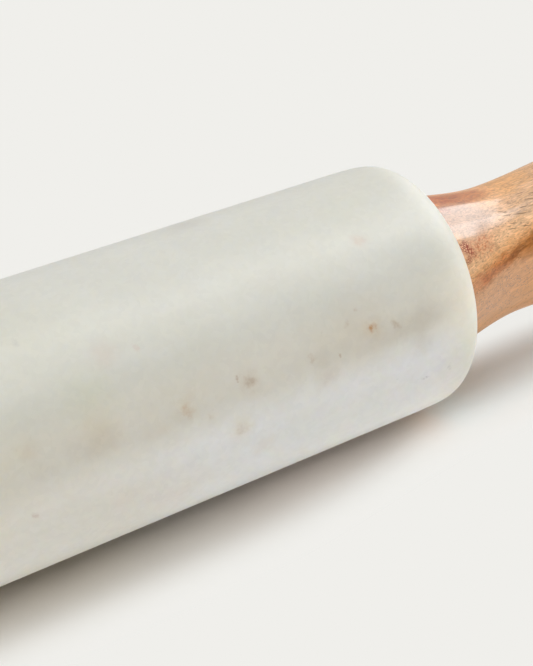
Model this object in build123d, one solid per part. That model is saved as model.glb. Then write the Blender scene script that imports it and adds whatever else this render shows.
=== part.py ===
"""Marble rolling pin with a free-turning barrel, in millimetres.

The pin lies along X and +Z is up. The origin is the centre of the barrel, on the axis that it turns about.
A marble barrel turns on two flanged nylon bushes over a steel axle. The axle's thinner threaded ends pass
through the wooden handles. A lock nut near the tip of each handle pulls it, through a thrust washer, against
the axle's shoulder, so the handles are tight on the axle and the barrel keeps its end play.
Each nut holds a nylon ring that grips the thread, and lies in a pocket that a wooden plug closes.
"""

import math
import os

from build123d import *

# Marble barrel
barrel_length = 250.0
barrel_radius = 30.0
barrel_edge_round = 8.0
barrel_bore_radius = 8.0
bore_mouth_chamfer = 0.6

# Flanged bush, one in each end of the barrel
bush_sleeve_length = 26.0
bush_flange_radius = 13.0
bush_flange_thickness = 3.0
bush_flange_proud = 0.3
bush_seat_clearance = 0.02
bush_edge_chamfer = 0.5

# Axle
axle_radius = 5.0
axle_end_radius = 4.0
axle_relief_depth = 0.4
axle_relief_length = 2.5
axle_tip_chamfer = 0.8
axle_tip_beyond_nut = 2.0
running_clearance = 0.05
end_play = 0.3

# Thrust washer between the axle's shoulder and the handle
thrust_washer_radius = 11.0
thrust_washer_thickness = 1.2
thrust_washer_edge_chamfer = 0.2
washer_hole_clearance = 0.2

# Wooden handle: its outline from the base, by the barrel, to the tip
handle_length = 98.0
handle_base_radius = 19.5
handle_base_round = 1.0
handle_base_land = 1.2
handle_neck_radius = 16.4
handle_neck_from_base = 23.5
handle_belly_radius = 18.65
handle_belly_from_base = 60.0
handle_shoulder_radius = 15.0
handle_tip_round = 12.5
handle_flare_slope_share = 0.19
handle_shoulder_angle = 19.0
handle_bore_clearance = 0.25
washer_recess_depth = 0.9
washer_recess_clearance = 0.25

# Nut, its washer and the pocket that they lie in
pocket_radius = 9.5
pocket_depth = 24.0
nut_washer_radius = 8.0
nut_washer_thickness = 1.6
nut_washer_edge_chamfer = 0.25
nut_across_flats = 13.0
nut_height = 6.5
nut_collar_height = 1.5
nut_collar_radius = 5.6
nut_thread_clearance = 0.05
nut_corner_chamfer = 0.6
nut_lip_length = 0.5
nut_lip_radius = 4.6

# Nylon ring held in the nut's collar, behind the collar's turned-in lip
nut_insert_length = 2.2
nut_insert_radius = 5.0
nut_insert_clearance = 0.02

# Wooden plug that closes the pocket
plug_length = 11.0
plug_clearance = 0.06
plug_inner_chamfer = 0.5

# How far a cutting solid runs past the face that it cuts
overrun = 1.0

# Places along the axis, worked out from the barrel's middle towards +X
barrel_end = barrel_length / 2
flange_face = barrel_end + bush_flange_proud
axle_shoulder = flange_face + end_play
handle_base = axle_shoulder + thrust_washer_thickness - washer_recess_depth
handle_tip = handle_base + handle_length
pocket_floor = handle_tip - pocket_depth
nut_seat = pocket_floor + nut_washer_thickness
nut_end = nut_seat + nut_height + nut_collar_height
insert_end = nut_end - nut_lip_length
insert_start = insert_end - nut_insert_length
axle_tip = nut_end + axle_tip_beyond_nut
plug_inner_face = handle_tip - plug_length
flange_seat = flange_face - bush_flange_thickness

# Bores and outsides that follow the pieces that pass through them
bush_bore_radius = axle_radius + running_clearance
bush_sleeve_radius = barrel_bore_radius - bush_seat_clearance
flange_pocket_radius = bush_flange_radius + bush_seat_clearance
washer_hole_radius = axle_end_radius + washer_hole_clearance
handle_bore_radius = axle_end_radius + handle_bore_clearance
washer_recess_radius = thrust_washer_radius + washer_recess_clearance
nut_bore_radius = axle_end_radius + nut_thread_clearance
insert_pocket_radius = nut_insert_radius + nut_insert_clearance
plug_radius = pocket_radius - plug_clearance


def turned(outline):
    """A solid of revolution about the X axis, from a closed outline of X and radius."""
    return revolve(make_face(outline), Axis.X)


def turned_points(*points):
    """A solid of revolution from straight steps, given as X and radius from one end of the axis to the other."""
    return turned(Polyline(*points, close=True))


def ring(start, end, inner_radius, outer_radius, chamfer_size):
    """A flat ring along X with its outer edges broken."""
    return turned_points(
        (start, inner_radius),
        (start, outer_radius - chamfer_size),
        (start + chamfer_size, outer_radius),
        (end - chamfer_size, outer_radius),
        (end, outer_radius - chamfer_size),
        (end, inner_radius),
    )


def bar(start, end, radius):
    """A plain round bar along X."""
    return turned_points((start, 0), (start, radius), (end, radius), (end, 0))


def to_left(shape):
    """The same piece at the other end of the pin, turned half round about Z."""
    return Rot(0, 0, 180) * shape


def marble_barrel():
    """The polished stone cylinder, core drilled, with a pocket at each end for a bush flange."""
    flat_end = barrel_radius - barrel_edge_round
    straight_end = barrel_end - barrel_edge_round
    outline = Polyline(
        (-barrel_end, flat_end), (-barrel_end, 0), (barrel_end, 0), (barrel_end, flat_end)
    )
    outline += RadiusArc((barrel_end, flat_end), (straight_end, barrel_radius), -barrel_edge_round)
    outline += Line((straight_end, barrel_radius), (-straight_end, barrel_radius))
    outline += RadiusArc((-straight_end, barrel_radius), (-barrel_end, flat_end), -barrel_edge_round)
    stone = turned(outline)
    stone -= bar(-barrel_end - overrun, barrel_end + overrun, barrel_bore_radius)
    flange_pocket = turned_points(
        (flange_seat, 0),
        (flange_seat, flange_pocket_radius),
        (barrel_end - bore_mouth_chamfer, flange_pocket_radius),
        (barrel_end, flange_pocket_radius + bore_mouth_chamfer),
        (barrel_end + overrun, flange_pocket_radius + bore_mouth_chamfer),
        (barrel_end + overrun, 0),
    )
    return stone - flange_pocket - to_left(flange_pocket)


def bush():
    """The flanged nylon bush in the barrel's +X end, with its inner mouths eased."""
    sleeve_end = flange_seat - bush_sleeve_length
    return turned_points(
        (sleeve_end, bush_bore_radius + bush_edge_chamfer),
        (sleeve_end, bush_sleeve_radius - bush_edge_chamfer),
        (sleeve_end + bush_edge_chamfer, bush_sleeve_radius),
        (flange_seat, bush_sleeve_radius),
        (flange_seat, bush_flange_radius),
        (flange_face - bush_edge_chamfer, bush_flange_radius),
        (flange_face, bush_flange_radius - bush_edge_chamfer),
        (flange_face, bush_bore_radius + bush_edge_chamfer),
        (flange_face - bush_edge_chamfer, bush_bore_radius),
        (sleeve_end + bush_edge_chamfer, bush_bore_radius),
    )


def axle_rod():
    """The steel axle: a thick middle for the bushes, and thinner ends with a relief groove at each shoulder."""
    relief_radius = axle_end_radius - axle_relief_depth
    relief_end = axle_shoulder + axle_relief_length
    half = [
        (axle_shoulder, axle_radius),
        (axle_shoulder, relief_radius),
        (relief_end, relief_radius),
        (relief_end + axle_relief_depth, axle_end_radius),
        (axle_tip - axle_tip_chamfer, axle_end_radius),
        (axle_tip, axle_end_radius - axle_tip_chamfer),
        (axle_tip, 0),
    ]
    other_half = [(-x, radius) for x, radius in reversed(half)]
    return turned_points(*other_half, *half)


def thrust_washer():
    """The steel washer that the axle's shoulder stops, which carries the handle and faces the bush."""
    return ring(
        axle_shoulder,
        axle_shoulder + thrust_washer_thickness,
        washer_hole_radius,
        thrust_washer_radius,
        thrust_washer_edge_chamfer,
    )


def handle_blank():
    """The handle's whole outside, plug included: a flared base, a neck, a belly and a domed tip."""
    angle = math.radians(handle_shoulder_angle)
    shoulder_x = handle_tip - handle_tip_round * (1 - math.sin(angle))
    tip_flat_radius = handle_shoulder_radius - handle_tip_round * math.cos(angle)
    base_edge = (handle_base, handle_base_radius - handle_base_round)
    land_start = (handle_base + handle_base_round, handle_base_radius)
    land_end = (handle_base + handle_base_round + handle_base_land, handle_base_radius)
    neck = (handle_base + handle_neck_from_base, handle_neck_radius)
    belly = (handle_base + handle_belly_from_base, handle_belly_radius)
    shoulder = (shoulder_x, handle_shoulder_radius)
    tip_edge = (handle_tip, tip_flat_radius)
    outline = Polyline(tip_edge, (handle_tip, 0), (handle_base, 0), base_edge)
    outline += RadiusArc(base_edge, land_start, handle_base_round)
    outline += Line(land_start, land_end)
    outline += Spline(land_end, neck, tangents=[(1, -handle_flare_slope_share), (1, 0)])
    outline += Spline(neck, belly, tangents=[(1, 0), (1, 0)])
    outline += Spline(belly, shoulder, tangents=[(1, 0), (math.cos(angle), -math.sin(angle))])
    outline += RadiusArc(shoulder, tip_edge, handle_tip_round)
    return turned(outline)


def handle(blank):
    """The handle drilled for the axle's end, with a recess for the thrust washer and a pocket for the nut."""
    axle_hole = bar(handle_base - overrun, handle_tip + overrun, handle_bore_radius)
    recess = bar(handle_base - overrun, handle_base + washer_recess_depth, washer_recess_radius)
    pocket = bar(pocket_floor, handle_tip + overrun, pocket_radius)
    return blank - axle_hole - recess - pocket


def end_plug(blank):
    """The wooden plug, whose outer face carries on the handle's domed tip."""
    core = turned_points(
        (plug_inner_face, 0),
        (plug_inner_face, plug_radius - plug_inner_chamfer),
        (plug_inner_face + plug_inner_chamfer, plug_radius),
        (handle_tip + overrun, plug_radius),
        (handle_tip + overrun, 0),
    )
    return blank & core


def nut_washer():
    """The washer that spreads the nut's pull over the floor of the handle's pocket."""
    return ring(
        pocket_floor, nut_seat, washer_hole_radius, nut_washer_radius, nut_washer_edge_chamfer
    )


def handle_nut():
    """The hexagonal lock nut, with its corners broken and a low round collar with a groove for the nylon ring."""
    corner_radius = nut_across_flats / math.sqrt(3)
    hexagon_end = nut_seat + nut_height
    face = Plane(origin=(nut_seat, 0, 0), z_dir=(1, 0, 0)) * RegularPolygon(corner_radius, 6)
    hexagon = extrude(face, nut_height)
    corner_cut = turned_points(
        (nut_seat, 0),
        (nut_seat, corner_radius - nut_corner_chamfer),
        (nut_seat + nut_corner_chamfer, corner_radius),
        (hexagon_end - nut_corner_chamfer, corner_radius),
        (hexagon_end, corner_radius - nut_corner_chamfer),
        (hexagon_end, 0),
    )
    collar = bar(hexagon_end - nut_collar_height, nut_end, nut_collar_radius)
    hollow = turned_points(
        (nut_seat - overrun, 0),
        (nut_seat - overrun, nut_bore_radius),
        (insert_start - nut_insert_clearance, nut_bore_radius),
        (insert_start - nut_insert_clearance, insert_pocket_radius),
        (insert_end + nut_insert_clearance, insert_pocket_radius),
        (insert_end + nut_insert_clearance, nut_lip_radius),
        (nut_end + overrun, nut_lip_radius),
        (nut_end + overrun, 0),
    )
    return (hexagon & corner_cut) + collar - hollow


def nut_insert():
    """The nylon ring in the nut's collar, which grips the thread and keeps the nut from working loose."""
    return turned_points(
        (insert_start, nut_bore_radius),
        (insert_start, nut_insert_radius),
        (insert_end, nut_insert_radius),
        (insert_end, nut_bore_radius),
    )


def build():
    """Every piece by node name."""
    blank = handle_blank()
    pieces = {"marble_barrel": marble_barrel(), "axle_rod": axle_rod()}
    right_end = {
        "bush": bush(),
        "thrust_washer": thrust_washer(),
        "handle": handle(blank),
        "nut_washer": nut_washer(),
        "handle_nut": handle_nut(),
        "nut_insert": nut_insert(),
        "end_plug": end_plug(blank),
    }
    for name, piece in right_end.items():
        pieces[name + "_right"] = piece
        pieces[name + "_left"] = to_left(piece)
    return pieces


os.makedirs("parts", exist_ok=True)
for node, piece in build().items():
    export_step(piece, f"parts/{node}.step")
    print(node, round(piece.volume), "mm3")
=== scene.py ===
"""The looks of the marble rolling pin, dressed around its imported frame. Lengths are in metres."""

import math

import bmesh
import bpy
from mathutils import Matrix, Vector


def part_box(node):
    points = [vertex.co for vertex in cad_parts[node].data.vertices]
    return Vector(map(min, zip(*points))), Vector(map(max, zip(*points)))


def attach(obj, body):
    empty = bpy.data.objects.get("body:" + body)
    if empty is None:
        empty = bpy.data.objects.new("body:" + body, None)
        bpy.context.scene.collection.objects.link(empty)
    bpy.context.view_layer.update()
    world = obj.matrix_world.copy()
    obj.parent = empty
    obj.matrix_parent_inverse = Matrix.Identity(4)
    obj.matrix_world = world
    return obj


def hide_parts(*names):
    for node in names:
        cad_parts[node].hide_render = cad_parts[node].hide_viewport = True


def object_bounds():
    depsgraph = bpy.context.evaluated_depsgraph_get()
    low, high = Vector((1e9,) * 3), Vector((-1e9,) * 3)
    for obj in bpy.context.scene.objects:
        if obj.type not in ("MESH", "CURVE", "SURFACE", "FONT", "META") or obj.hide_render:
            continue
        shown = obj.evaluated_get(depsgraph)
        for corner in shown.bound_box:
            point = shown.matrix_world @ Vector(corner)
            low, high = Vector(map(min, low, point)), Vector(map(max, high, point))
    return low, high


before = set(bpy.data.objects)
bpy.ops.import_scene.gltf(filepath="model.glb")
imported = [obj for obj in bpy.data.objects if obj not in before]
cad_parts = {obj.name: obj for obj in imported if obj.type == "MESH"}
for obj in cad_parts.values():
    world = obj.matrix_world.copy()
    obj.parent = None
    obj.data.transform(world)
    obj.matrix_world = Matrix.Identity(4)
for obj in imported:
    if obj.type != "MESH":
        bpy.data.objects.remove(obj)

cad_low, cad_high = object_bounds()
mm = 0.001

# Sizes that the frame gives
barrel_end, barrel_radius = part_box("marble_barrel")[1].xy
flange_face, flange_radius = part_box("bush_right")[1].xy
handle_base, handle_base_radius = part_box("handle_right")[0].x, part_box("handle_right")[1].y
handle_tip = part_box("end_plug_right")[1].x
plug_inner_face, plug_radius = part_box("end_plug_right")[0].x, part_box("end_plug_right")[1].y
thrust_washer_end, thrust_washer_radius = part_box("thrust_washer_right")[1].xy
pocket_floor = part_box("nut_washer_right")[0].x

# Sizes that the frame's boxes don't show, as the frame has them
barrel_edge_round = 8 * mm
barrel_bore_radius = 8 * mm
# The edge round eases into the straight side from this length before it to this angle round it
ease_length = 9 * mm
ease_handle = 0.44 * mm
ease_angle = math.radians(35)
bore_mouth_chamfer = 0.6 * mm
flange_thickness = 3 * mm
flange_clearance = 0.02 * mm
handle_base_round = 1.0 * mm
handle_base_land = 1.2 * mm
handle_neck_radius = 16.4 * mm
handle_neck_from_base = 23.5 * mm
handle_belly_radius = 18.65 * mm
handle_belly_from_base = 60 * mm
handle_shoulder_radius = 15 * mm
handle_tip_round = 12.5 * mm
handle_flare_slope = -0.19
handle_shoulder_slope = -math.tan(math.radians(19))
handle_bore_radius = 4.25 * mm
washer_recess_clearance = 0.25 * mm
plug_clearance = 0.06 * mm
plug_edge_ease = 0.12 * mm
plug_inner_chamfer = 0.5 * mm

# How finely the turned pieces are drawn
steps_around = 256
arc_steps = 20
curve_steps = 56
turning_radius = 10 * mm
merge_distance = 0.001 * mm
sharp_edge_angle = math.radians(28)

# How much of a drawn spot or line has its full strength
spot_core_share = 0.4
border_core_share = 0.3


class Value:
    """An output socket that sums can use: each operator adds a Math node to the graph."""

    def __init__(self, graph, socket):
        self.graph = graph
        self.socket = socket

    def __add__(self, other):
        return self.graph.maths("ADD", self, other)

    def __sub__(self, other):
        return self.graph.maths("SUBTRACT", self, other)

    def __rsub__(self, other):
        return self.graph.maths("SUBTRACT", other, self)

    def __mul__(self, other):
        return self.graph.maths("MULTIPLY", self, other)

    def __truediv__(self, other):
        return self.graph.maths("DIVIDE", self, other)

    def __neg__(self):
        return self.graph.maths("MULTIPLY", self, -1.0)

    def __abs__(self):
        return self.graph.maths("ABSOLUTE", self)

    __radd__ = __add__
    __rmul__ = __mul__

    def larger(self, other):
        return self.graph.maths("MAXIMUM", self, other)

    def swing(self, reach):
        """Noise from 0 to 1 made into a change of up to half the reach either way."""
        return (self - 0.5) * reach


class Graph:
    """A node tree and the one method that adds a node to it."""

    def __init__(self, tree):
        self.tree = tree

    @staticmethod
    def pick(sockets, key):
        """The socket with that number, or the one in use with that name."""
        if isinstance(key, int):
            return sockets[key]
        return next(s for s in sockets if s.enabled and s.name == key)

    def node(self, kind, settings=None, sockets=None, output=None):
        """Adds a node: its settings first, then the values or links of its sockets. Gives one output."""
        made = self.tree.nodes.new(kind)
        for name, setting in (settings or {}).items():
            if name == "stops":
                self.set_stops(made.color_ramp, setting)
            else:
                setattr(made, name, setting)
        for key, value in (sockets or {}).items():
            socket = self.pick(made.inputs, key)
            if isinstance(value, Value):
                self.tree.links.new(value.socket, socket)
            elif isinstance(value, (list, tuple)) and value and isinstance(value[0], Value):
                for one in reversed(value):
                    self.tree.links.new(one.socket, socket)
            else:
                socket.default_value = value
        if not made.outputs:
            return made
        if output is None:
            return Value(self, next(s for s in made.outputs if s.enabled))
        return Value(self, self.pick(made.outputs, output))

    @staticmethod
    def set_stops(ramp, stops):
        """Gives a colour ramp its stops, each a place and a colour."""
        while len(ramp.elements) < len(stops):
            ramp.elements.new(1.0)
        for element, (place, colour) in zip(ramp.elements, stops):
            element.position = place
            element.color = (*colour, 1.0)

    def maths(self, operation, *operands):
        return self.node("ShaderNodeMath", {"operation": operation}, dict(enumerate(operands)))

    def vector(self, operation, *operands, output=None):
        settings = {"operation": operation}
        return self.node("ShaderNodeVectorMath", settings, dict(enumerate(operands)), output)

    def scale(self, vector, factor):
        """A place or a colour times a number."""
        sockets = {0: vector, "Scale": factor}
        return self.node("ShaderNodeVectorMath", {"operation": "SCALE"}, sockets)

    def distance(self, place, point):
        return self.vector("DISTANCE", place, point, output="Value")

    def reach(self, place, direction):
        """How far the place lies in a direction."""
        return self.vector("DOT_PRODUCT", place, direction, output="Value")

    def place_in_mm(self):
        """The place on the object, in mm."""
        return self.scale(self.node("ShaderNodeTexCoord", output="Object"), 1 / mm)

    def parts_of(self, vector):
        return [self.node("ShaderNodeSeparateXYZ", None, {0: vector}, axis) for axis in "XYZ"]

    def joined(self, x, y, z):
        return self.node("ShaderNodeCombineXYZ", None, {"X": x, "Y": y, "Z": z})

    def ray(self, kind):
        """1 for the rays of a kind, such as Camera, and 0 for the rest."""
        return self.node("ShaderNodeLightPath", output="Is %s Ray" % kind)

    def fade(self, value, start, end, first=0.0, last=1.0):
        """A smooth change from the first number to the last as the value goes from start to end."""
        settings = {"interpolation_type": "SMOOTHSTEP"}
        sockets = {"Value": value, "From Min": start, "From Max": end, "To Min": first, "To Max": last}
        return self.node("ShaderNodeMapRange", settings, sockets)

    def band(self, value, rise, fall):
        """0, then up to 1 over the first pair of numbers, and down to 0 again over the second pair."""
        return self.fade(value, *rise) * self.fade(value, *fall)

    def mix(self, factor, first, second, blend="MIX"):
        settings = {"data_type": "RGBA", "blend_type": blend, "clamp_factor": True}
        return self.node("ShaderNodeMix", settings, {"Factor": factor, "A": first, "B": second}, "Result")

    def noise(self, place, size, detail=2.0, roughness=0.5, seed=0.0, output="Fac"):
        """Soft noise whose patches are about that size, in the unit of the place."""
        sockets = {
            "Vector": place, "W": seed, "Scale": 1 / size, "Detail": detail, "Roughness": roughness,
        }
        return self.node("ShaderNodeTexNoise", {"noise_dimensions": "4D"}, sockets, output)

    def warp(self, place, size, reach, seed=0.0):
        """The place pushed about by noise, to make what is drawn there ragged."""
        push = self.noise(place, size, detail=3.0, roughness=0.6, seed=seed, output="Color")
        centred = self.vector("SUBTRACT", push, (0.5, 0.5, 0.5))
        return self.vector("ADD", place, self.scale(centred, reach))

    def voronoi(self, place, size, output, feature="F1"):
        sockets = {"Vector": place, "Scale": 1 / size}
        return self.node("ShaderNodeTexVoronoi", {"feature": feature}, sockets, output)

    def cells(self, place, size):
        """A different grey from 0 to 1 in each cell of about that size."""
        return self.parts_of(self.voronoi(place, size, "Color"))[0]

    def spots(self, place, spacing, radius):
        """Round spots, one in each cell. The radius is a share of the spacing."""
        away = self.voronoi(place, spacing, "Distance")
        return self.fade(away, radius, radius * spot_core_share)

    def borders(self, place, size, width):
        """The lines between cells of about that size. The width is a share of the size."""
        away = self.voronoi(place, size, "Distance", "DISTANCE_TO_EDGE")
        return self.fade(away, width, width * border_core_share)

    def ramp(self, value, stops):
        return self.node("ShaderNodeValToRGB", {"stops": stops}, {"Fac": value}, "Color")

    def bump(self, height, strength, depth):
        sockets = {"Height": height, "Strength": strength, "Distance": depth}
        return self.node("ShaderNodeBump", None, sockets)


class Outline:
    """The half section of a turned piece in a geometry tree, drawn in order from one end to the other."""

    def __init__(self, graph):
        self.graph = graph
        self.runs = []

    def point(self, along, radius):
        return self.graph.joined(radius - turning_radius, along, 0.0)

    def line(self, start, end):
        sockets = {"Start": self.point(*start), "End": self.point(*end)}
        kind = "GeometryNodeCurvePrimitiveLine"
        self.runs.append(self.graph.node(kind, {"mode": "POINTS"}, sockets))

    def lines(self, *points):
        for start, end in zip(points, points[1:]):
            self.line(start, end)

    def arc(self, centre, radius, start_angle, sweep):
        """Part of a circle. Its angle is 0 straight out from the axis and grows towards +X."""
        sizes = {"Resolution": arc_steps, "Radius": radius}
        angles = {"Start Angle": start_angle, "Sweep Angle": sweep}
        arc = self.graph.node("GeometryNodeCurveArc", {"mode": "RADIUS"}, {**sizes, **angles})
        place = {"Geometry": arc, "Translation": self.point(*centre)}
        self.runs.append(self.graph.node("GeometryNodeTransform", None, place))

    def bezier(self, mode, start, start_handle, end_handle, end):
        keys = ("Start", "Start Handle", "End Handle", "End")
        sockets = {"Resolution": curve_steps, **dict(zip(keys, (start, start_handle, end_handle, end)))}
        kind = "GeometryNodeCurvePrimitiveBezierSegment"
        self.runs.append(self.graph.node(kind, {"mode": mode}, sockets))

    def sweep(self, start, start_slope, end, end_slope):
        """A smooth curve from one point to the other, with a slope of radius against length at each."""
        first, last = self.point(*start), self.point(*end)
        chord = self.graph.distance(first, last)

        def towards(slope, share):
            length = math.hypot(slope, 1.0)
            return self.graph.scale((slope / length, 1.0 / length, 0.0), chord * share)

        self.bezier("OFFSET", first, towards(start_slope, 1 / 3), towards(end_slope, -1 / 3), last)

    def curve(self, *places):
        """A curve from the first of four points to the last, with its two handles between them."""
        self.bezier("POSITION", *(self.point(*place) for place in places))

    def turned(self, material):
        """Carries the outline once round the X axis and closes its seams."""
        graph = self.graph
        outline = graph.node("GeometryNodeJoinGeometry", None, {"Geometry": self.runs})
        circle_sizes = {"Resolution": steps_around, "Radius": turning_radius}
        circle = graph.node("GeometryNodeCurvePrimitiveCircle", {"mode": "RADIUS"}, circle_sizes)
        swept = graph.node("GeometryNodeCurveToMesh", None, {"Curve": circle, "Profile Curve": outline})
        turn = {"Geometry": swept, "Rotation": (0.0, -math.pi / 2, 0.0)}
        lying = graph.node("GeometryNodeTransform", None, turn)
        seams = {"Geometry": lying, "Distance": merge_distance}
        closed = graph.node("GeometryNodeMergeByDistance", None, seams)
        smooth = graph.node("GeometryNodeSetShadeSmooth", None, {"Geometry": closed})
        real = graph.node("GeometryNodeRealizeInstances", None, {"Geometry": smooth})
        dressed = {"Geometry": real, "Material": material}
        return graph.node("GeometryNodeSetMaterial", None, dressed)


def shape_tree(name, sizes, draw):
    """A geometry tree with a named input for each size. The draw function adds the runs of its outline."""
    tree = bpy.data.node_groups.new(name, "GeometryNodeTree")
    for label in sizes:
        tree.interface.new_socket(label, in_out="INPUT", socket_type="NodeSocketFloat")
    tree.interface.new_socket("Material", in_out="INPUT", socket_type="NodeSocketMaterial")
    tree.interface.new_socket("Geometry", in_out="OUTPUT", socket_type="NodeSocketGeometry")
    graph = Graph(tree)
    inputs = tree.nodes.new("NodeGroupInput")
    outline = Outline(graph)
    draw(outline, *(Value(graph, inputs.outputs[label]) for label in sizes))
    shape = outline.turned(Value(graph, inputs.outputs["Material"]))
    graph.node("NodeGroupOutput", None, {"Geometry": shape})
    return tree


def made_mesh(name, draw, sizes, material):
    """Runs the shape tree of an outline with its sizes and gives the result as a plain mesh object."""
    tree = shape_tree("turned " + name, sizes, draw)
    carrier = bpy.data.objects.new(name, bpy.data.meshes.new(name))
    bpy.context.scene.collection.objects.link(carrier)
    modifier = carrier.modifiers.new("shape", "NODES")
    modifier.node_group = tree
    values = {**sizes, "Material": material}
    for item in tree.interface.items_tree:
        if item.in_out == "INPUT":
            modifier[item.identifier] = values[item.name]
    depsgraph = bpy.context.evaluated_depsgraph_get()
    mesh = bpy.data.meshes.new_from_object(carrier.evaluated_get(depsgraph))
    carrier.modifiers.remove(modifier)
    carrier.data = mesh
    tidy_faces(mesh)
    return carrier


def tidy_faces(mesh):
    """Turns every face outwards and marks the sharp edges."""
    work = bmesh.new()
    work.from_mesh(mesh)
    bmesh.ops.recalc_face_normals(work, faces=work.faces)
    work.to_mesh(mesh)
    work.free()
    mesh.set_sharp_from_angle(angle=sharp_edge_angle)


def turned_half_round(piece, name):
    """The same piece at the pin's other end."""
    copy = bpy.data.objects.new(name, piece.data.copy())
    copy.data.transform(Matrix.Rotation(math.pi, 4, "Z"))
    bpy.context.scene.collection.objects.link(copy)
    return copy


def draw_barrel(outline, end, radius, edge_round, bore_radius, pocket_radius, pocket_at, mouth_chamfer):
    """The whole closed section of the barrel: bore, flange pockets, flat ends, rounded edges and outside."""
    flat = radius - edge_round
    straight = end - edge_round
    mouth = pocket_radius + mouth_chamfer
    outline.lines((-end, flat), (-end, mouth), (mouth_chamfer - end, pocket_radius))
    outline.lines((mouth_chamfer - end, pocket_radius), (-pocket_at, pocket_radius))
    outline.lines((-pocket_at, pocket_radius), (-pocket_at, bore_radius), (pocket_at, bore_radius))
    outline.lines((pocket_at, bore_radius), (pocket_at, pocket_radius))
    outline.lines((pocket_at, pocket_radius), (end - mouth_chamfer, pocket_radius), (end, mouth))
    outline.line((end, mouth), (end, flat))
    outline.arc((straight, flat), edge_round, math.pi / 2, ease_angle - math.pi / 2)
    eased = (edge_round * math.sin(ease_angle) + straight, edge_round * math.cos(ease_angle) + flat)
    corner = eased[0] - (radius - eased[1]) / math.tan(ease_angle)
    handles = (straight + ease_handle, radius), (corner, radius)
    outline.curve((straight - ease_length, radius), *handles, eased)
    outline.line((straight - ease_length, radius), (ease_length - straight, radius))
    mirrored = [(-along, at) for along, at in handles]
    outline.curve((ease_length - straight, radius), *mirrored, (-eased[0], eased[1]))
    outline.arc((-straight, flat), edge_round, -ease_angle, ease_angle - math.pi / 2)


def draw_handle(outline, base, tip, base_radius, pocket_radius, recess_radius, recess_floor, pocket_bottom):
    """The closed section of a handle: axle hole, washer recess, outside and nut pocket."""
    land_start = base + handle_base_round
    land_end = land_start + handle_base_land
    shoulder_angle = math.atan(-handle_shoulder_slope)
    shoulder = tip - handle_tip_round * (1 - math.sin(shoulder_angle))
    tip_height = handle_shoulder_radius - handle_tip_round * math.cos(shoulder_angle)
    tip_centre = (tip - handle_tip_round, tip_height)
    mouth_angle = math.acos((plug_radius + plug_clearance - tip_centre[1]) / handle_tip_round)
    mouth = tip_centre[0] + handle_tip_round * math.sin(mouth_angle)
    outline.lines((recess_floor, handle_bore_radius), (recess_floor, recess_radius), (base, recess_radius))
    outline.line((base, recess_radius), (base, base_radius - handle_base_round))
    outline.arc((land_start, base_radius - handle_base_round), handle_base_round, -math.pi / 2, math.pi / 2)
    outline.line((land_start, base_radius), (land_end, base_radius))
    neck = (base + handle_neck_from_base, handle_neck_radius)
    belly = (base + handle_belly_from_base, handle_belly_radius)
    outline.sweep((land_end, base_radius), handle_flare_slope, neck, 0.0)
    outline.sweep(neck, 0.0, belly, 0.0)
    outline.sweep(belly, 0.0, (shoulder, handle_shoulder_radius), handle_shoulder_slope)
    outline.arc(tip_centre, handle_tip_round, shoulder_angle, mouth_angle - shoulder_angle)
    outline.lines((mouth, pocket_radius), (pocket_bottom, pocket_radius), (pocket_bottom, handle_bore_radius))
    outline.line((pocket_bottom, handle_bore_radius), (recess_floor, handle_bore_radius))


def draw_plug(outline, inner_face, tip, radius, inner_chamfer, edge_ease):
    """A plug's section from its inner face round to the flat at the tip. Its dome carries on the handle's."""
    shoulder_angle = math.atan(-handle_shoulder_slope)
    height = handle_shoulder_radius - handle_tip_round * math.cos(shoulder_angle)
    centre = (tip - handle_tip_round, height)
    dome_start = math.acos((plug_radius - plug_edge_ease - centre[1]) / handle_tip_round)
    edge = centre[0] + handle_tip_round * math.sin(dome_start)
    chamfered = (inner_face + inner_chamfer, radius)
    outline.lines((inner_face, 0.0), (inner_face, radius - inner_chamfer), chamfered)
    outline.line(chamfered, (edge - edge_ease, radius))
    outline.line((edge - edge_ease, radius), (edge, radius - edge_ease))
    outline.arc(centre, handle_tip_round, dome_start, math.pi / 2 - dome_start)
    outline.line((tip, centre[1]), (tip, 0.0))


def finish(name, draw, **fixed):
    """A material with its constant values on the shader's own sockets. Draw gives those that vary."""
    material = bpy.data.materials.new(name)
    material.use_nodes = True
    tree = material.node_tree
    shader = tree.nodes["Principled BSDF"]
    for socket, value in fixed.items():
        shader.inputs[socket.replace("_", " ")].default_value = value
    graph = Graph(tree)
    for socket, value in draw(graph).items():
        tree.links.new(value.socket, shader.inputs[socket])
    return material


# Sizes of the marble's patches, in mm
cloud_size = 45
small_cloud_size = 14
mottle_size = 4
crystal_size = 1.2
near_bed_patch_size = 17
ragged_size, ragged_reach = 2.4, 4.5
fleck_grain_size = 0.7
speck_spacing, speck_share = 7.0, 0.09

# The plane of the marble's whiter bed, in mm: it slopes down from the front. Below it the stone is lighter,
# partly its own whiter layer and partly painted light for the barrel's lower front
bed_height = 11.6
bed_front = 27.8
bed_slope = 0.35
bed_wander = 5.0
bed_ripple = 4.0
bed_blur = 3.2

# Where the marble changes, in mm: each pair fades from its first number to its second
lower_zone = (15.0, 5.0)
white_zone = (10.0, 48.0)
white_skew, white_wander = 0.6, 30.0
low_zone = (27.0, 10.0)
front_end_zone = (18.0, 1.0)
top_end_zone = (10.5, 1.5)
front_zone = (4.0, -14.0)
honed_zone = (13.0, 4.0)

# The same in shares of the bed's blur, and of the noise that runs from 0 to 1
bed_zone = (0.5, -2.6)
near_bed_zones = (-0.6, 0.2), (3.0, 0.4)
warm_clouds = (0.42, 0.64)
near_bed_patches = (0.42, 0.66)
fleck_grain = (0.34, 0.62)

# Roughness of the marble's straight side and of its rounded ends
polished, honed = 0.31, 0.55

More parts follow.
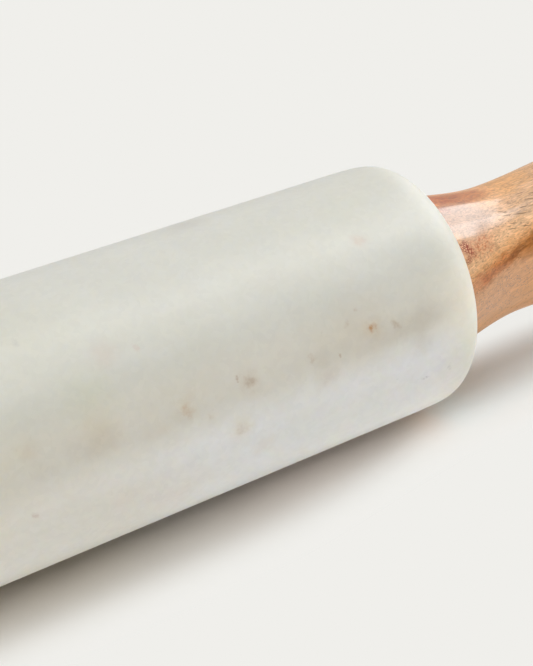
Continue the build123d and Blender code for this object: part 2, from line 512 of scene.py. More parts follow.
# Colours of the marble
upper_stone = (0.672, 0.672, 0.618, 1.0)
# Lower stone and bed: partly the stone's own whiter layer, partly painted light for the barrel's lower front
lower_stone_and_light = (0.748, 0.727, 0.652, 1.0)
cream_stone = (0.880, 0.858, 0.785, 1.0)
bed_stone_and_light = (0.910, 0.918, 0.905, 1.0)
# Painted shade on top of the rounded ends and painted light on their lower front
painted_shade_end_top = (0.775, 0.77, 0.705, 1.0)
painted_light_end_front = (0.985, 0.94, 0.82, 1.0)
warm_stone = (0.985, 0.98, 0.93, 1.0)
near_bed_darkening = (0.84, 0.80, 0.76, 1.0)
tan_fleck = (0.47, 0.35, 0.23, 1.0)
orange_fleck = (0.52, 0.27, 0.10, 1.0)
pink_fleck = (0.62, 0.50, 0.44, 1.0)
grey_fleck = (0.42, 0.41, 0.40, 1.0)
tan_stain = (0.93, 0.85, 0.74, 1.0)
brown_stain = (0.84, 0.74, 0.66, 1.0)
pink_stain = (0.96, 0.88, 0.84, 1.0)
grey_stain = (0.86, 0.83, 0.82, 1.0)
green_stain = (0.94, 0.95, 0.82, 1.0)


def draw_marble(graph):
    """Cool white stone with clouds and crystal grain, warmer towards a whiter bed, with flecks and stains.
    The lower stone and the bed carry painted light, and the rounded ends carry painted shade on top and
    painted light on their lower front.
    """
    place = graph.place_in_mm()
    x, y, z = graph.parts_of(place)
    from_end = barrel_end / mm - abs(x)
    cloud = graph.noise(place, cloud_size, detail=3)
    small_cloud = graph.noise(place, small_cloud_size, detail=3, roughness=0.55)
    mottle = graph.noise(place, mottle_size, roughness=0.6)
    crystals = graph.cells(place, crystal_size)

    wander = cloud.swing(bed_wander) + small_cloud.swing(bed_ripple)
    depth = z - bed_height + (y + bed_front) * bed_slope + wander
    # Lighter lower stone and whiter bed: partly the stone's own layer, partly painted light on the lower
    # front
    stone = graph.mix(graph.fade(depth, *lower_zone), upper_stone, lower_stone_and_light)
    bed_depth = depth / bed_blur
    white = graph.fade(x + y * white_skew + small_cloud.swing(white_wander), *white_zone)
    bed = graph.mix(white, cream_stone, bed_stone_and_light)
    stone = graph.mix(graph.fade(bed_depth, *bed_zone), stone, bed)
    warm = graph.fade(cloud, *warm_clouds)
    stone = graph.mix(warm * 0.5, stone, warm_stone, "MULTIPLY")

    # Painted light: the lower front of the rounded ends is a lighter cream. Painted shade: their top, more so
    # towards the front, is darker
    low = graph.fade(z, *low_zone)
    stone = graph.mix(graph.fade(from_end, *front_end_zone) * low, stone, painted_light_end_front)
    towards_front = graph.fade(y, *front_zone, 0.3, 1.0)
    top_end = graph.fade(from_end, *top_end_zone) * (1.0 - low) * towards_front
    stone = graph.mix(top_end, stone, painted_shade_end_top)

    # Darker, warmer patches just above the bed
    near_bed = graph.band(bed_depth, *near_bed_zones)
    patchy = graph.fade(graph.noise(place, near_bed_patch_size, seed=7.0), *near_bed_patches)
    stone = graph.mix(near_bed * patchy * 0.5, stone, near_bed_darkening, "MULTIPLY")
    light = 1.0 + small_cloud.swing(0.09) + mottle.swing(0.05) + crystals.swing(0.035)
    stone = graph.scale(stone, light)

    ragged = graph.warp(place, ragged_size, ragged_reach)
    grainy = graph.fade(graph.noise(place, fleck_grain_size, roughness=0.6, seed=3.0), *fleck_grain)
    for *centre, size, strength, tint in stains:
        away = graph.distance(ragged, centre) / size
        stone = graph.mix(graph.fade(away, 1.3, 0.0) * strength, stone, tint, "MULTIPLY")
    for *centre, size, strength, tint in flecks:
        away = graph.distance(ragged, centre) / size
        inside = graph.fade(away, 1.3, 0.2) * (0.4 + grainy * 0.6)
        stone = graph.mix(inside * strength, stone, tint)
    specks = graph.spots(ragged, speck_spacing, speck_share)
    stone = graph.mix(specks * near_bed * 0.5, stone, tan_fleck)

    rough = graph.fade(from_end, *honed_zone, polished, honed)
    rough = rough + mottle.swing(0.05) + cloud.swing(0.04)
    bump = graph.bump(crystals * 0.4 + mottle, 0.1, 0.02 * mm)
    return {"Base Color": stone, "Roughness": rough, "Normal": bump}


def on_barrel(x, angle, size, strength, tint):
    """A fleck at a length along the barrel, in mm, and an angle from the top towards the front."""
    turn = math.radians(angle)
    radius = barrel_radius / mm
    return (x, -radius * math.sin(turn), radius * math.cos(turn), size, strength, tint)


stains = (
    on_barrel(93.0, 54, 9.0, 0.18, brown_stain),
    on_barrel(94.7, 60, 3.0, 0.45, tan_stain),
    on_barrel(82.5, 72, 3.5, 0.28, brown_stain),
    on_barrel(106.0, 74, 3.2, 0.55, grey_stain),
    on_barrel(61.0, 80, 3.6, 0.52, tan_stain),
    on_barrel(66.0, 92, 3.4, 0.32, tan_stain),
    on_barrel(54.4, 70, 2.4, 0.27, tan_stain),
    on_barrel(50.0, 63, 2.8, 0.38, tan_stain),
    on_barrel(64.5, 62, 2.6, 0.44, brown_stain),
    on_barrel(32.5, 60, 4.5, 0.34, tan_stain),
    on_barrel(33.0, 46, 7.0, 0.37, green_stain),
    on_barrel(38.0, 33, 3.5, 0.60, pink_stain),
    on_barrel(46.0, 100, 7.5, 0.27, pink_stain),
    on_barrel(35.0, 91, 4.0, 0.27, pink_stain),
    on_barrel(18.0, 56, 2.4, 0.34, tan_stain),
    on_barrel(113.0, 90, 3.4, 0.12, brown_stain),
    on_barrel(70.0, -24, 5.5, 0.60, grey_stain),
    on_barrel(100.0, 23, 2.4, 0.56, pink_stain),
)

flecks = (
    on_barrel(94.7, 59.5, 1.0, 0.85, orange_fleck),
    on_barrel(100.4, 61.5, 1.3, 0.5, tan_fleck),
    on_barrel(89.2, 54, 0.8, 0.25, tan_fleck),
    on_barrel(92.0, 51, 0.6, 0.35, tan_fleck),
    on_barrel(79.5, 62, 1.1, 0.32, tan_fleck),
    on_barrel(64.6, 62, 1.4, 0.48, tan_fleck),
    on_barrel(62.2, 59.5, 0.6, 0.8, tan_fleck),
    on_barrel(50.2, 63.6, 1.4, 0.3, orange_fleck),
    on_barrel(54.4, 70, 1.0, 0.2, tan_fleck),
    on_barrel(61.2, 80, 1.6, 0.2, tan_fleck),
    on_barrel(44.4, 34, 1.0, 0.5, pink_fleck),
    on_barrel(16.6, 81, 0.9, 0.5, pink_fleck),
    on_barrel(23.7, 17, 1.1, 0.25, grey_fleck),
    on_barrel(99.7, 23, 1.3, 0.3, pink_fleck),
    on_barrel(107.0, 91, 0.7, 0.4, grey_fleck),
    on_barrel(113.7, 91, 0.8, 0.18, grey_fleck),
    on_barrel(99.0, 86, 0.5, 0.35, grey_fleck),
    on_barrel(82.0, 73, 1.4, 0.18, grey_fleck),
)


# Directions in the wood: along its fibres, which rise to the right, through its layers, and across both
fibre_way = (0.957, 0.0, 0.288)
layer_way = (0.253, -0.477, -0.842)
side_way = (0.138, 0.879, -0.456)
streak_layer = 35.4
layer_span = 44.0

# How the wood wanders, in mm
wave_size, layer_wave = 34, 3.0
ripple_size, layer_ripple, side_ripple = 7, 1.6, 1.4
ragged_edge = 3.2

# Colours of the wood across its layers, from under the streak to beyond it, each at its place in mm
layer_colours = (
    (-22.0, (0.60, 0.225, 0.080)),
    (-18.5, (0.62, 0.250, 0.090)),
    (-15.5, (0.65, 0.295, 0.120)),
    (-12.5, (0.76, 0.415, 0.200)),
    (-9.5, (0.71, 0.430, 0.255)),
    (-7.0, (0.70, 0.405, 0.220)),
    (-4.5, (0.76, 0.465, 0.255)),
    (-2.2, (0.70, 0.360, 0.155)),
    (-0.8, (0.52, 0.220, 0.072)),
    (-0.1, (0.25, 0.085, 0.026)),
    (0.5, (0.42, 0.165, 0.055)),
    (1.3, (0.58, 0.280, 0.120)),
    (2.5, (0.70, 0.370, 0.185)),
    (6.0, (0.74, 0.390, 0.195)),
    (10.0, (0.79, 0.385, 0.150)),
    (22.0, (0.74, 0.355, 0.135)),
)
pore_shade = (0.17, 0.085, 0.050, 1.0)
dash_shade = (0.13, 0.085, 0.035, 1.0)
cool_pore = (0.28, 0.220, 0.200, 1.0)
grey_dot = (0.30, 0.225, 0.190, 1.0)
red_figure = (0.27, 0.032, 0.020, 1.0)
rust = (0.52, 0.155, 0.060, 1.0)
ruddy_streak = (0.42, 0.125, 0.055, 1.0)
rust_streak = (0.58, 0.200, 0.060, 1.0)
olive_band = (0.50, 0.285, 0.130, 1.0)
golden_band = (0.46, 0.170, 0.038, 1.0)
pale_end = (0.64, 0.300, 0.125, 1.0)
ruddy_top = (0.68, 0.495, 0.33, 1.0)
# Painted shade: darker and more golden on top past the neck, offsetting the coat's reflection there
painted_golden_shade = (0.94, 0.86, 0.66, 1.0)
dull_patch = (0.40, 0.240, 0.155, 1.0)

# Where the wood changes through its layers, in mm: each pair fades from its first number to its second
golden_layers = (-2.4, -0.8), (4.4, 2.2)
olive_layers = (-9.8, -8.2), (-4.8, -6.4)
streak_layers = (-2.3, -1.0), (1.8, 0.6)
cool_layers = (1.5, 4.0), (13.0, 9.0)
ruddy_layers = (-13.0, -16.0)
golden_shade_layers = (-8.8, -10.8)
faint_line_layers = (0.5, 2.5)
fewer_pore_layers = (-10.0, -13.5)
dash_layers = (-2.0, -3.5)
few_dash_layers = (-11.0, -8.5)

# And where it changes along the handle, in mm from the middle of the pin
golden_from = (141.0, 151.0)
olive_from = (141.0, 149.0)
golden_shade_from = (145.0, 153.0)
rusty_until = (147.0, 138.0)
pale_until = (132.8, 130.4)
strong_lines_from = (150.0, 168.0)
dashes_from = (134.0, 146.0)

# Two long patches on top of the handle. Each centre is at its squeezed length, in mm
ruddy_squeeze, ruddy_centre, ruddy_reach = 0.45, (62.6, 3.2, 17.2), (5.2, 2.4)
dull_squeeze, dull_centre, dull_reach = 0.55, (73.2, -4.8, 16.6), (7.0, 3.4)

# Where the oil is worn, in mm: under the border of the highlight, and faintly past the neck
border_rise = (128.0, 139.0, -12.0, -7.2)
border_end = (142.0, 153.0, 0.0, 2.2)
border_wander = 3.0
worn_zones = (2.4, -2.4), (-7.0, -4.0)
worn_lengths = (131.0, 137.0), (162.0, 154.0)
paler_lengths = (136.0, 152.0), (174.0, 160.0)

# Figure that is drawn out along the fibres: how many times longer it is, and its size across them in mm
edge_figure = (6.0, 0.8)
streak_figure = (12.0, 1.5)
freckle_figure = (2.0, 0.5)
fibre_figure = (16.0, 0.36)
bundle_figure = (14.0, 1.5)
# For spots, their spacing across the fibres and their radius as a share of it
pore_spots = (2.4, 0.6, 0.27)
dot_spots = (1.2, 0.66, 0.34)

# The dashes in the surface: how many times longer than wide, their spacing in mm and their share of it
dash_stretch, dash_spots = 9.0, (0.75, 0.24)
more_dash_stretch, more_dash_spots = 11.0, (0.85, 0.28)
dash_slant = 0.12
# More dashes are drawn this far from the first ones in the pattern
more_dash_shift, more_dash_depth = 9.0, 5.0

# Patches of red figure and of rust freckles beside the barrel: x, y, z and radius in mm, and strength
red_patches = (
    (129.6, -11.9, 15.0, 1.9, 1.0),
    (130.9, -12.8, 14.0, 1.5, 0.8),
    (129.4, -14.0, 13.1, 1.2, 0.8),
    (130.9, -1.2, 18.8, 1.8, 0.5),
)
rust_patches = (
    (136.0, -11.6, 13.6, 3.2, 0.8),
    (132.5, -12.5, 13.8, 3.0, 0.6),
    (131.6, -17.0, 7.8, 2.6, 0.5),
    (133.0, 3.8, 18.2, 4.0, 0.5),
)


class Grain:
    """Where a place lies in the wood, in mm: along the fibres, to their side and through the layers."""

    def __init__(self, graph, shift):
        self.graph = graph
        self.place = graph.vector("ADD", graph.place_in_mm(), shift)
        self.x, self.y, self.z = graph.parts_of(self.place)
        waves = graph.noise(self.place, wave_size)
        self.ripples = graph.noise(self.place, ripple_size, seed=2.0)
        self.along = graph.reach(self.place, fibre_way)
        self.side = graph.reach(self.place, side_way) + self.ripples.swing(side_ripple)
        straight = graph.reach(self.place, layer_way) - streak_layer
        self.layer = straight + waves.swing(layer_wave) + self.ripples.swing(layer_ripple)
        edge = self.noise(*edge_figure, detail=3, roughness=0.6, seed=5.0)
        self.ragged = self.layer + edge.swing(ragged_edge)

    def drawn_out(self, times):
        """The place, squeezed along the fibres, so that what is drawn there is that many times longer."""
        return self.graph.joined(self.along / times, self.side, self.layer)

    def noise(self, times, size, **kind):
        return self.graph.noise(self.drawn_out(times), size, **kind)

    def spots(self, times, spacing, share):
        return self.graph.spots(self.drawn_out(times), spacing, share)

    def patch(self, squeeze, centre, reach):
        """A patch that is longer along the handle than round it."""
        squeezed = self.graph.joined(self.x * squeeze, self.y, self.z)
        return self.graph.fade(self.graph.distance(squeezed, centre), *reach)


def layered_wood(graph, grain, olive):
    """The wood's colour across its layers, with the bands, the long patches and a painted shade on top past
    the neck.
    """
    share = graph.maths("PINGPONG", (grain.ragged + layer_span / 2) / layer_span, 1.0)
    wood = graph.ramp(share, [(at / layer_span + 0.5, colour) for at, colour in layer_colours])
    golden = graph.band(grain.ragged, *golden_layers) * graph.fade(grain.x, *golden_from)
    wood = graph.mix(golden * 0.65, wood, golden_band)
    wood = graph.mix(olive * 0.55, wood, olive_band)
    ruddy = graph.fade(grain.noise(*streak_figure, seed=8.0), 0.46, 0.60)
    wood = graph.mix(ruddy * graph.fade(grain.ragged, *ruddy_layers) * 0.65, wood, ruddy_streak)
    top_end = grain.patch(ruddy_squeeze, ruddy_centre, ruddy_reach)
    wood = graph.mix(top_end * 0.9, wood, ruddy_top, "MULTIPLY")
    # Painted shade: the top past the neck is darker and more golden, to offset the coat's grazing reflection
    past_neck = graph.fade(grain.x, *golden_shade_from) * graph.fade(grain.ragged, *golden_shade_layers)
    wood = graph.mix(past_neck, wood, painted_golden_shade, "MULTIPLY")
    dull = grain.patch(dull_squeeze, dull_centre, dull_reach)
    return graph.mix(dull * 0.85, wood, dull_patch)


def worn_oil(graph, grain):
    """How far the oil is worn, from 0 to 1, before the patches of figure are counted."""
    border = graph.fade(grain.x, *border_rise) + graph.fade(grain.x, *border_end)
    beyond = grain.y - border + grain.ripples.swing(border_wander)
    worn = graph.band(beyond, *worn_zones) * graph.band(grain.x, *worn_lengths) * 0.75
    return worn.larger(graph.band(grain.x, *paler_lengths) * 0.3)


def figured_wood(graph, grain, wood, worn, freckles):
    """Rust freckles and a net of red figure beside the barrel, where the oil is worn too."""
    pushed = graph.warp(grain.place, 1.6, 2.4, seed=4.0)
    for *centre, radius, strength in rust_patches:
        away = graph.distance(pushed, centre) / radius
        worn = worn.larger(graph.fade(away, 1.5, 0.4) * 0.6 * strength)
        speckled = graph.fade(away, 1.3, 0.2) * (0.25 + freckles * 0.85)
        wood = graph.mix(speckled * strength, wood, rust)
    net = graph.borders(graph.warp(grain.place, 0.8, 0.5), 0.62, 0.17)
    for *centre, radius, strength in red_patches:
        inside = graph.fade(graph.distance(pushed, centre) / radius, 1.2, 0.4)
        wood = graph.mix(inside * (0.12 + net * 0.85) * strength, wood, red_figure)
    return wood, worn


def surface_dashes(graph, grain, olive):
    """Short dark dashes, drawn along the handle and round it so that they lie in its surface."""
    around = graph.maths("ARCTAN2", -grain.y, grain.z) * (handle_neck_radius / mm)
    along = grain.x + around * dash_slant + grain.ripples.swing(2.0)
    across = around - grain.x * dash_slant + grain.ripples.swing(2.4)
    dashes = graph.spots(graph.joined(along / dash_stretch, across, 0.0), *dash_spots)
    dashes = dashes * graph.fade(grain.layer, *dash_layers, 0.15, 1.0)
    dashes = dashes * graph.fade(grain.layer, *few_dash_layers, 0.12, 1.0)
    dashes = dashes * graph.fade(grain.x, *dashes_from, 0.2, 1.0)
    shifted = graph.joined(along / more_dash_stretch, across + more_dash_shift, more_dash_depth)
    more = graph.spots(shifted, *more_dash_spots)
    return dashes.larger(more * olive)


def acacia(shift, tint):
    """Turned acacia: layers with a dark streak, fine fibres, open pores and red figure, under oil."""

    def draw(graph):
        grain = Grain(graph, shift)
        olive = graph.band(grain.ragged, *olive_layers) * graph.fade(grain.x, *olive_from)
        wood = layered_wood(graph, grain, olive)

        freckles = graph.fade(grain.noise(*freckle_figure, detail=1, seed=9.0), 0.50, 0.62)
        streak = graph.band(grain.ragged, *streak_layers)
        rusty = streak * graph.fade(grain.x, *rusty_until) * (0.5 + freckles * 0.4)
        wood = graph.mix(rusty, wood, rust_streak)
        wood = graph.mix(streak * graph.fade(grain.x, *pale_until) * 0.9, wood, pale_end)

        lined = graph.fade(grain.layer, *faint_line_layers, 1.0, 0.5)
        lined = lined.larger(graph.fade(grain.x, *strong_lines_from, 0.5, 1.1))
        fibres = grain.noise(*fibre_figure, roughness=0.6)
        bundles = grain.noise(*bundle_figure, roughness=0.6, seed=1.0)
        wood = graph.scale(wood, 1.0 + (fibres.swing(1.55) + bundles.swing(0.8)) * lined)
        wood, worn = figured_wood(graph, grain, wood, worn_oil(graph, grain), freckles)

        patchy = graph.fade(graph.noise(grain.place, 5, detail=1, seed=6.0), 0.30, 0.55, 0.4, 1.0)
        fewer = graph.fade(grain.layer, *fewer_pore_layers, 1.0, 0.45)
        pores = grain.spots(*pore_spots) * patchy * fewer
        cool = graph.band(grain.layer, *cool_layers)
        wood = graph.mix(pores * 0.6, wood, graph.mix(cool, pore_shade, cool_pore))
        dots = grain.spots(*dot_spots) * cool * patchy
        wood = graph.mix(dots * 0.5, wood, grey_dot)
        dashes = surface_dashes(graph, grain, olive)
        wood = graph.mix(dashes * 0.75, wood, dash_shade)
        wood = graph.mix(1.0, wood, tint, "MULTIPLY")

        broken = pores.larger(dashes)
        grazing = graph.node("ShaderNodeLayerWeight", None, {"Blend": 0.5}, "Facing")
        whole = 1.0 + fibres.swing(0.6) - broken * 0.7
        coat = graph.fade(grazing, 0.5, 0.76, 0.9, 0.3) * whole * (1.0 - worn)
        rough = 0.42 + fibres.swing(0.3) + broken * 0.3
        bump = graph.bump(fibres * lined * 0.35 - broken, 0.3, 0.06 * mm)
        return {"Base Color": wood, "Roughness": rough, "Coat Weight": coat, "Normal": bump}

    return draw


def brushed(graph, place, base, scratch_place):
    """Steel with fine brush lines along one direction, faint stains and a few deeper scratches."""
    lines = graph.noise(scratch_place, 0.09, roughness=0.7)
    deep = graph.fade(graph.noise(scratch_place, 0.35, detail=1, seed=3.0), 0.66, 0.74)
    stain = graph.noise(place, 5, detail=3, roughness=0.55, seed=1.0)
    steel = graph.scale(base, 1.0 + lines.swing(0.16) + stain.swing(0.12) - deep * 0.12)
    rough = 0.27 + lines.swing(0.16) + stain.swing(0.1) + deep * 0.12
    bump = graph.bump(lines - deep, 0.16, 0.01 * mm)
    return {"Base Color": steel, "Roughness": rough, "Normal": bump}


def drawn_steel(graph):
    """Bar steel, with its draw marks along it."""
    place = graph.place_in_mm()
    x, y, z = graph.parts_of(place)
    return brushed(graph, place, axle_colour, graph.joined(x / draw_mark_stretch, y, z))


def turned_steel(base):
    """Steel with the round marks of turning or punching about the axis."""

    def draw(graph):
        place = graph.place_in_mm()
        x, y, z = graph.parts_of(place)
        radius = graph.maths("SQRT", y * y + z * z)
        return brushed(graph, place, base, graph.joined(x, radius, 0.0))

    return draw


def draw_nylon(graph):
    """Natural nylon, faintly cloudy, with a fine moulded grain."""
    place = graph.place_in_mm()
    cloud = graph.noise(place, 3.5)
    grain = graph.noise(place, 0.25, roughness=0.6, seed=1.0)
    nylon = graph.mix(graph.fade(cloud, 0.3, 0.7), nylon_light, nylon_dark)
    nylon = graph.scale(nylon, 1.0 + grain.swing(0.04))
    rough = 0.46 + grain.swing(0.14)
    return {"Base Color": nylon, "Roughness": rough, "Normal": graph.bump(grain, 0.12, 0.02 * mm)}


axle_colour = (0.56, 0.56, 0.57)
washer_colour = (0.60, 0.60, 0.60)
nut_colour = (0.52, 0.53, 0.54)
nylon_light = (0.82, 0.81, 0.76, 1.0)
nylon_dark = (0.78, 0.765, 0.70, 1.0)
draw_mark_stretch = 40.0

marble = finish(
    "honed marble", draw_marble,
    Subsurface_Weight=1.0, Subsurface_Radius=(1.0, 0.88, 0.68), Subsurface_Scale=4 * mm,
)
oiled = {"Specular_IOR_Level": 0.24, "Coat_Roughness": 0.12, "Coat_IOR": 1.5}
handle_wood = finish("oiled acacia", acacia((0.0, 0.0, 0.0), (1.0, 1.0, 1.0, 1.0)), **oiled)
plug_wood = finish("plug acacia", acacia((0.0, 9.0, 23.0), (0.84, 0.80, 0.76, 1.0)), **oiled)
axle_steel = finish("drawn bar steel", drawn_steel, Metallic=1.0)
washer_steel = finish("washer steel", turned_steel(washer_colour), Metallic=1.0)
nut_steel = finish("nut steel", turned_steel(nut_colour), Metallic=1.0)
nylon = finish(
    "natural nylon", draw_nylon,
    Subsurface_Weight=0.6, Subsurface_Radius=(1.0, 0.9, 0.75), Subsurface_Scale=1.5 * mm,
)

barrel_sizes = {
    "End": barrel_end,
    "Radius": barrel_radius,
    "Edge Round": barrel_edge_round,
    "Bore Radius": barrel_bore_radius,
    "Pocket Radius": flange_radius + flange_clearance,
    "Pocket Floor": flange_face - flange_thickness,
    "Mouth Chamfer": bore_mouth_chamfer,
}
barrel = made_mesh("marble_cylinder", draw_barrel, barrel_sizes, marble)
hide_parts("marble_barrel")
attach(barrel, "barrel")

handle_sizes = {
    "Base": handle_base,
    "Tip": handle_tip,
    "Base Radius": handle_base_radius,
    "Pocket Radius": plug_radius + plug_clearance,
    "Recess Radius": thrust_washer_radius + washer_recess_clearance,
    "Recess Floor": thrust_washer_end,
    "Pocket Bottom": pocket_floor,
}
handle_right = made_mesh("grip_right", draw_handle, handle_sizes, handle_wood)
handle_left = turned_half_round(handle_right, "grip_left")
for grip, node in ((handle_right, "handle_right"), (handle_left, "handle_left")):
    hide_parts(node)
    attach(grip, "handles")

plug_sizes = {
    "Inner Face": plug_inner_face,
    "Tip": handle_tip,
    "Radius": plug_radius,
    "Inner Chamfer": plug_inner_chamfer,
    "Edge Ease": plug_edge_ease,
}
plug_right = made_mesh("tip_plug_right", draw_plug, plug_sizes, plug_wood)
plug_left = turned_half_round(plug_right, "tip_plug_left")
for plug, node in ((plug_right, "end_plug_right"), (plug_left, "end_plug_left")):
    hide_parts(node)
    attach(plug, "handles")

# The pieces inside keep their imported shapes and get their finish
inner_finishes = {
    "axle": axle_steel, "washer": washer_steel, "handle_nut": nut_steel, "bush": nylon, "insert": nylon,
}
for name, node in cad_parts.items():
    for word, material in inner_finishes.items():
        if word in name:
            node.data.materials.clear()
            node.data.materials.append(material)

# Floor, world, lamps and camera
floor_side = 12.0
room_colour = (0.871, 0.863, 0.831, 1.0)
dim_room = (0.12, 0.115, 0.105, 1.0)
warm_light, warm_strength = (1.0, 0.93, 0.86, 1.0), 0.05
seen_paper = (0.834, 0.826, 0.795, 1.0)
# Painted shade: near the pin the seen paper is darker and warmer, deepening and tinting the shadow
painted_warm_shade = (0.710, 0.650, 0.580, 1.0)
painted_warm_end_shade = (0.915, 0.790, 0.715, 1.0)
# Painted light: cooler, lighter paper beside the handles
painted_cool_light = (0.84, 0.935, 0.955, 1.0)
bounce_paper = (0.95, 0.94, 0.92, 1.0)
dull_table = (0.70, 0.693, 0.665, 1.0)

# Where the floor changes, in mm from the pin's axis: the painted warm shade in the shadow, the page and the
# painted cooler, lighter paper
warm_reach = (14.0, 37.0)
page_reach = (24.0, 40.0)
cool_reach = (40.0, 26.0)
# And in mm along the pin, either way from its middle
warm_end_lengths = (40.0, 105.0)
past_barrel_lengths = (113.0, 129.0)
cool_lengths = (117.0, 129.0)
handle_lengths = (124.0, 132.0)
thinner_lengths, thinner_shadow = (60.0, 130.0), 7.0
# And in mm behind the axis
painted_light_under_handle_zone, painted_light_under_handle_share = (-11.5, 1.5), 0.97
behind_pin_zone = (30.0, 110.0)

# The room behind and its table, as parts of the direction that a ray looks in
room_ahead = (-0.30, 0.10)
table_height = (0.115, 0.085)


def shown_rays(graph):
    """1 for the rays that show a thing, straight, in gloss or through glass, and 0 for the rest."""
    camera, gloss, glass = [graph.ray(kind) for kind in ("Camera", "Glossy", "Transmission")]
    return camera.larger(gloss.larger(glass))


def from_pin(graph, place):
    """How far a place on the floor is from the pin's axis, in mm, and more beside the thinner handles."""
    x, y, z = graph.parts_of(place)
    past_end = (abs(x) - handle_tip / mm + barrel_radius / mm).larger(0.0)
    thinner = graph.fade(abs(x), *thinner_lengths) * thinner_shadow
    return graph.maths("SQRT", y * y + past_end * past_end) + thinner


def draw_paper(graph):
    """Paper whose seen colour leaves room for the pin's shadow, with painted shade that darkens it and gives
    it the photographed tint, and painted light beside the handles.
    """
    place = graph.place_in_mm()
    fibre = graph.noise(place, 0.6, roughness=0.6)
    length = abs(graph.parts_of(place)[0])
    away = from_pin(graph, place)
    # Painted shade: darker, warmer paper near the pin, inside the shadow
    warm = graph.mix(graph.fade(length, *warm_end_lengths), painted_warm_shade, painted_warm_end_shade)
    pale = graph.fade(length, *past_barrel_lengths).larger(graph.fade(away, *warm_reach))
    near = graph.mix(pale, warm, seen_paper)
    # Painted light beside the handles: the paper is cooler and lighter there, cancelling the wood's warm
    # light and lightening the shadow
    by_handle = graph.fade(length, *cool_lengths) * graph.fade(away, *cool_reach)
    near = graph.mix(by_handle, near, painted_cool_light)
    seen = graph.mix(shown_rays(graph), bounce_paper, near)
    return {"Base Color": graph.scale(seen, 1.0 + fibre.swing(0.004))}


def show_page(material):
    """Away from the pin the paper shows the page's plain colour in place of its lit one, and so does the
    paper under the handles, as painted light.
    """
    graph = Graph(material.node_tree)
    nodes = material.node_tree.nodes
    place = graph.place_in_mm()
    x, y, z = graph.parts_of(place)
    # Painted light: under the handles the paper shows the plain page colour in place of their shadow
    behind = graph.fade(y, *painted_light_under_handle_zone, 0.0, painted_light_under_handle_share)
    painted_light_under_handle = graph.fade(abs(x), *handle_lengths) * behind
    page = graph.fade(from_pin(graph, place), *page_reach).larger(painted_light_under_handle)
    # In gloss the table behind the pin is duller than the page
    dull = graph.fade(y, *behind_pin_zone) * graph.ray("Glossy")
    sockets = {"Color": graph.mix(dull, room_colour, dull_table), "Strength": 1.0}
    plain = graph.node("ShaderNodeEmission", None, sockets)
    lit = Value(graph, nodes["Principled BSDF"].outputs[0])
    sockets = {0: page * shown_rays(graph), 1: lit, 2: plain}
    both = graph.node("ShaderNodeMixShader", None, sockets)
    material.node_tree.links.new(both.socket, nodes["Material Output"].inputs["Surface"])


paper = finish("paper", draw_paper, Roughness=1.0, Specular_IOR_Level=0.0)
show_page(paper)
bpy.ops.mesh.primitive_plane_add(size=floor_side, location=(0, 0, cad_low.z))
floor = bpy.context.object
floor.name = "floor"
floor.data.materials.append(paper)


def make_room():
    """A faint warm light all round. In gloss the room shows its pale back and table, and is dim elsewhere."""
    world = bpy.data.worlds.new("room")
    bpy.context.scene.world = world
    world.use_nodes = True
    nodes = world.node_tree.nodes
    nodes["Background"].inputs["Color"].default_value = warm_light
    nodes["Background"].inputs["Strength"].default_value = warm_strength
    graph = Graph(world.node_tree)
    ahead, height = graph.parts_of(graph.node("ShaderNodeTexCoord", output="Generated"))[1:]
    behind_or_low = graph.fade(ahead, *room_ahead).larger(graph.fade(height, *table_height))
    pale = graph.ray("Camera").larger(behind_or_low)
    sockets = {"Color": graph.mix(pale, dim_room, room_colour), "Strength": 1.0}
    backdrop = graph.node("ShaderNodeBackground", None, sockets)
    light = Value(graph, nodes["Background"].outputs[0])
    both = graph.node("ShaderNodeMixShader", None, {0: shown_rays(graph), 1: light, 2: backdrop})
    world.node_tree.links.new(both.socket, nodes["World Output"].inputs["Surface"])


make_room()


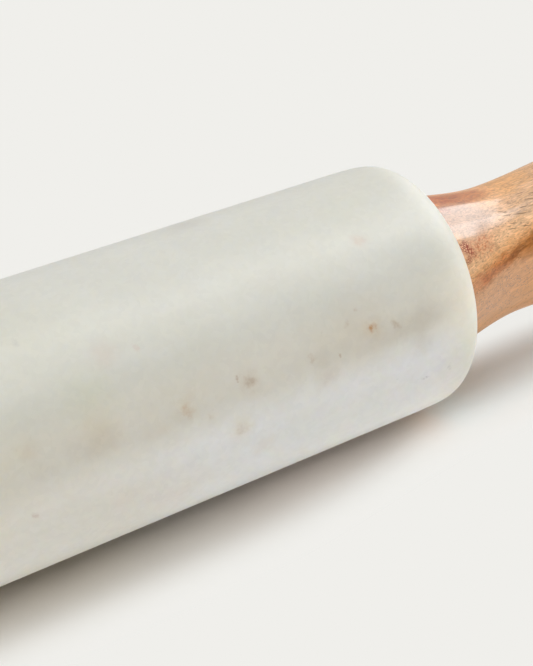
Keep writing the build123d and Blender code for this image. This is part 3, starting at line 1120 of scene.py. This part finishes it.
def softbox(name, centre, across, up, size, radiance):
    """A flat lamp that shows only in gloss and by its light."""
    lamp = bpy.data.lights.new(name, "AREA")
    lamp.shape = "RECTANGLE"
    lamp.size, lamp.size_y = size
    lamp.energy = radiance * math.pi * size[0] * size[1]
    across, up = Vector(across).normalized(), Vector(up).normalized()
    turn = Matrix((across, up, across.cross(up))).transposed()
    holder = bpy.data.objects.new(name, lamp)
    holder.matrix_world = Matrix.Translation(centre) @ turn.to_4x4()
    holder.visible_camera = False
    bpy.context.scene.collection.objects.link(holder)


# Each lamp's middle and size are shares of the lamp distance, from the photographed end of the pin.
# The rows hold name, middle, way across, way up, size and radiance
lamp_distance = 3.8
lamp_aim = Vector((84, 0, 0)) * mm
x_way, y_way, z_way = (1, 0, 0), (0, 1, 0), (0, 0, 1)
lamps = (
    ("window", (1.00, 0.065, 0.93), y_way, z_way, (0.37, 1.00), 7.0),
    ("backwin", (1.00, 0.55, 0.70), y_way, z_way, (0.60, 0.54), 4.3),
    ("band", (0.47, 0.06, 1.07), x_way, y_way, (0.60, 0.34), 2.75),
    ("leftband", (-0.30, 0.03, 1.07), x_way, y_way, (0.86, 0.40), 1.0),
    ("backband", (0.45, 0.41, 1.07), x_way, y_way, (0.60, 0.36), 1.35),
    ("fill", (-0.10, -0.46, 1.07), x_way, y_way, (1.74, 0.58), 1.87),
    ("left", (-0.72, -0.27, 0.92), (0.35, -0.94, 0), (0.72, 0.27, 0.64), (0.73, 0.40), 3.8),
)
for name, middle, across, up, size, radiance in lamps:
    centre = lamp_aim + Vector(middle) * lamp_distance
    softbox(name, centre, across, up, [side * lamp_distance for side in size], radiance)

camera_aim = Vector((83.7, -0.1, 0.0)) * mm
camera_azimuth = math.radians(-29.88)
camera_elevation = math.radians(39.75)
camera_distance = 275.7 * mm
camera_lens = 64.86

camera = bpy.data.objects.new("camera", bpy.data.cameras.new("camera"))
bpy.context.scene.collection.objects.link(camera)
bpy.context.scene.camera = camera
back = Vector((
    math.sin(camera_azimuth) * math.cos(camera_elevation),
    -math.cos(camera_azimuth) * math.cos(camera_elevation),
    math.sin(camera_elevation),
))
camera.location = camera_aim + back * camera_distance
camera.rotation_euler = (-back).to_track_quat("-Z", "Y").to_euler()
camera.data.lens = camera_lens
camera.data.sensor_width = 36.0
camera.data.clip_start = 0.01

bpy.context.scene.view_settings.view_transform = "Standard"
